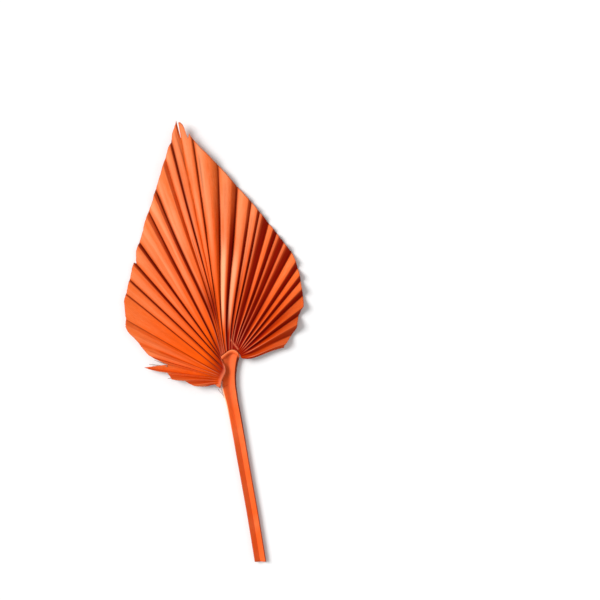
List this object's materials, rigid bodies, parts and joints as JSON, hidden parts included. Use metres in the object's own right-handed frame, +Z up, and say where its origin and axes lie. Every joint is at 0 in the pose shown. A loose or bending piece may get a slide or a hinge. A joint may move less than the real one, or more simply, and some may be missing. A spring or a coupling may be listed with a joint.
{
  "type": "dried palm spear",
  "caption": "Dried fan palm leaf trimmed to a spear: a pleated pointed blade with a sawtooth rim on a slim channelled stalk, lying flat.",
  "frame": {"origin": "bottom centre of the bounding box, on the surface that the leaf lies on", "axes": "+Y from the stalk's cut end to the blade's tip, +Z up out of the grooved upper side of the leaf"},
  "size_m": [0.163, 0.406, 0.0121],
  "materials": {
    "leaf": "matte dyed dry leaf, fine lengthwise fibres",
    "stalk": "satin dyed dry stalk"
  },
  "bodies": {
    "root": {"blade": "leaf", "petiole": "stalk"}
  },
  "joints": []
}
